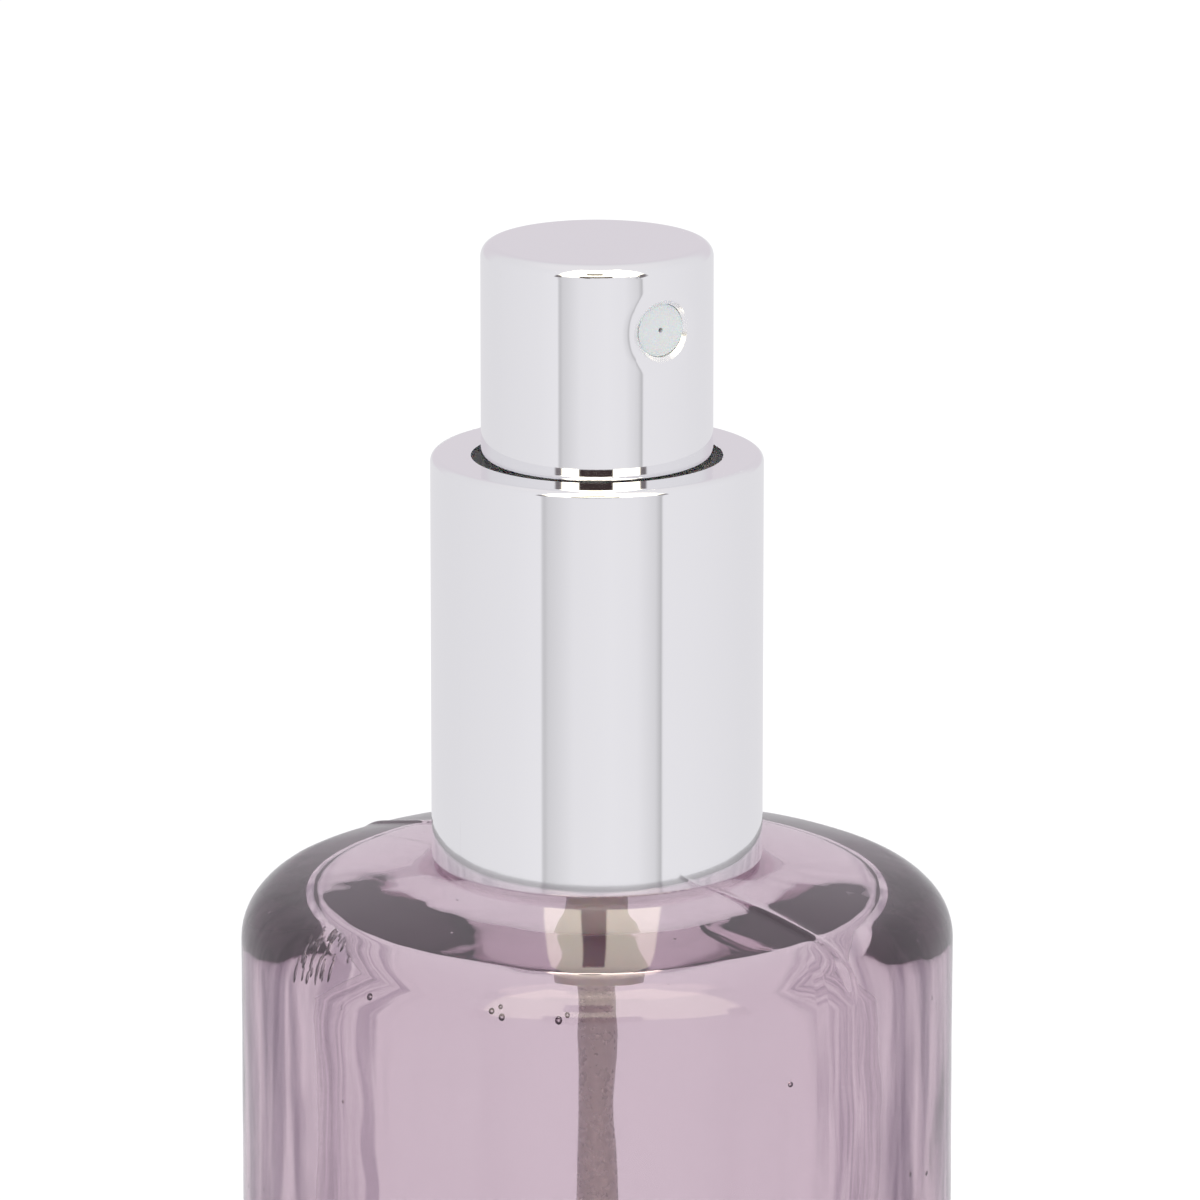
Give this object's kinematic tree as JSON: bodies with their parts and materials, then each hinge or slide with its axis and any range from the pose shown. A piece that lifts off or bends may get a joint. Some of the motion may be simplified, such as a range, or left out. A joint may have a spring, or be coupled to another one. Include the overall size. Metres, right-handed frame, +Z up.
{
  "type": "perfume bottle",
  "caption": "Round thick-glass perfume bottle with a domed shoulder, a tall bright screw collar and a fine-mist pump whose round button presses down and turns.",
  "frame": {"origin": "middle of the base's standing plane", "axes": "+Z up the pump's axis, -Y to the front, where the button's nozzle turns towards +X, +X to the right of the front"},
  "size_m": [0.0434, 0.0434, 0.0996],
  "materials": {
    "lilac_glass": "polished, slightly wavy",
    "bright_metal": "mirror bright",
    "white_plastic": "moulded",
    "natural_plastic": "natural, translucent",
    "nozzle_plastic": "moulded",
    "tube_plastic": "extruded, clear",
    "gasket": "matt",
    "spring_steel": "drawn wire"
  },
  "bodies": {
    "bottle": {"glass_bottle": "lilac_glass"},
    "pump": {"neck_gasket": "gasket", "pump_housing": "natural_plastic", "pump_cap": "white_plastic", "stem_seal": "gasket", "ball_cage": "natural_plastic", "return_spring": "spring_steel", "dip_tube": "tube_plastic"},
    "closure": {"screw_closure": "white_plastic", "collar_sleeve": "white_plastic", "collar_shell": "bright_metal"},
    "plunger": {"stem": "white_plastic", "valve_pin": "white_plastic", "piston_spring": "spring_steel"},
    "piston": {"piston": "natural_plastic"},
    "button": {"actuator_shell": "bright_metal", "actuator_core": "white_plastic", "nozzle_insert": "nozzle_plastic"},
    "ball": {"check_ball": "spring_steel"}
  },
  "joints": [
    {"name": "pump_lift", "type": "slide", "parent": "bottle", "child": "pump", "axis": [0, 0, 1], "range_m": [0, 0.00508]},
    {"name": "closure_turn", "type": "hinge", "parent": "pump", "child": "closure", "pos_m": [0, 0, 0.07], "axis": [0, 0, 1], "range_deg": [0, 577]},
    {"name": "button_press", "type": "slide", "parent": "pump", "child": "plunger", "axis": [0, 0, -1], "range_m": [0, 0.0045], "stiffness_N_per_m": 1800, "springref_m": -0.0015, "deforming": ["return_spring"]},
    {"name": "piston_travel", "type": "slide", "parent": "pump", "child": "piston", "axis": [0, 0, -1], "range_m": [0, 0.00406], "deforming": ["piston_spring"]},
    {"name": "button_swivel", "type": "hinge", "parent": "plunger", "child": "button", "pos_m": [0, 0, 0.09], "axis": [0, 0, 1], "continuous": true},
    {"name": "ball_lift", "type": "slide", "parent": "pump", "child": "ball", "axis": [0, 0, 1], "range_m": [0, 0.00035]}
  ],
  "couplings": [
    {"joint": "closure_turn", "follows": "pump_lift", "rad_per_m": 1979},
    {"joint": "piston_travel", "follows": "button_press", "ratio": 0.9}
  ]
}
